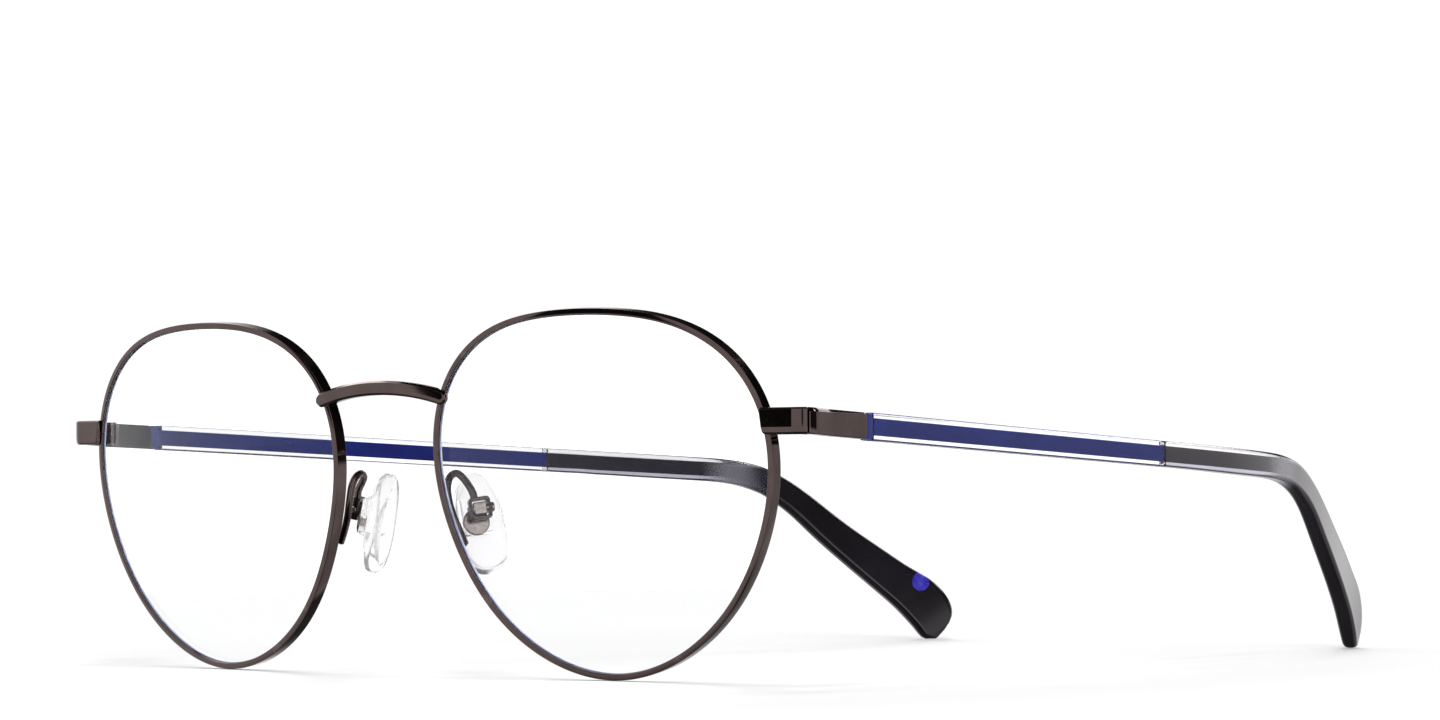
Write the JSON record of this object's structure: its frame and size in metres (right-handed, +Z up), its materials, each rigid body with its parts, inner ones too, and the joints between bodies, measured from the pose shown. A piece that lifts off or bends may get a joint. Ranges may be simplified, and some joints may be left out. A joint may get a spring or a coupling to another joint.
{
  "type": "round wire eyeglasses",
  "caption": "Round wire eyeglasses with clear lenses, adjustable nose pads and folding temples in clear sleeves with dark curved tips.",
  "frame": {"origin": "under the middle of the glasses, on the surface that the rims and tips stand on", "axes": "lens fronts face -Y, temples run back along +Y, +X is the wearer's left, +Z up"},
  "size_m": [0.1282, 0.149, 0.0435],
  "materials": {
    "gunmetal": "polished dark gunmetal plating",
    "screw_steel": "turned steel screw",
    "pad_insert": "stamped metal cap and lug",
    "lens": "clear plastic lens, polished",
    "blue_core": "satin blue coating",
    "clear_sleeve": "clear acrylic, polished",
    "tip": "smoke to black acetate, polished",
    "inlay": "plain blue disc",
    "nose_pad": "clear silicone"
  },
  "bodies": {
    "front": {"rim_left": "gunmetal", "rim_right": "gunmetal", "bridge": "gunmetal", "endpiece_left": "gunmetal", "endpiece_right": "gunmetal", "rim_lock_upper_left": "gunmetal", "rim_lock_upper_right": "gunmetal", "rim_lock_lower_left": "gunmetal", "rim_lock_lower_right": "gunmetal", "hinge_front_left": "gunmetal", "hinge_front_right": "gunmetal", "pad_arm_left": "gunmetal", "pad_arm_right": "gunmetal", "pad_box_left": "gunmetal", "pad_box_right": "gunmetal", "rim_screw_left": "screw_steel", "rim_screw_right": "screw_steel", "hinge_screw_left": "screw_steel", "hinge_screw_right": "screw_steel", "pad_screw_left": "screw_steel", "pad_screw_right": "screw_steel", "lens_left": "lens", "lens_right": "lens"},
    "temple_left": {"temple_plate_left": "gunmetal", "hinge_temple_left": "gunmetal", "temple_core_left": "blue_core", "temple_sleeve_left": "clear_sleeve", "tip_sleeve_left": "tip", "tip_inlay_left": "inlay"},
    "pad_left": {"nose_pad_left": "nose_pad", "pad_insert_left": "pad_insert"},
    "temple_right": {"temple_plate_right": "gunmetal", "hinge_temple_right": "gunmetal", "temple_core_right": "blue_core", "temple_sleeve_right": "clear_sleeve", "tip_sleeve_right": "tip", "tip_inlay_right": "inlay"},
    "pad_right": {"nose_pad_right": "nose_pad", "pad_insert_right": "pad_insert"}
  },
  "joints": [
    {"name": "temple_fold_left", "type": "hinge", "parent": "front", "child": "temple_left", "pos_m": [0.0609, -0.06382, 0.02978], "axis": [0, 0, 1], "range_deg": [0, 82]},
    {"name": "temple_fold_right", "type": "hinge", "parent": "front", "child": "temple_right", "pos_m": [-0.0609, -0.06382, 0.02978], "axis": [0, 0, -1], "range_deg": [0, 74]},
    {"name": "pad_rock_left", "type": "hinge", "parent": "front", "child": "pad_left", "pos_m": [0.01106, -0.0674, 0.02016], "axis": [0.4717, 0.8724, 0.1279], "range_deg": [-10, 10]},
    {"name": "pad_rock_right", "type": "hinge", "parent": "front", "child": "pad_right", "pos_m": [-0.01106, -0.0674, 0.02016], "axis": [-0.4717, 0.8724, 0.1279], "range_deg": [-10, 10]}
  ]
}
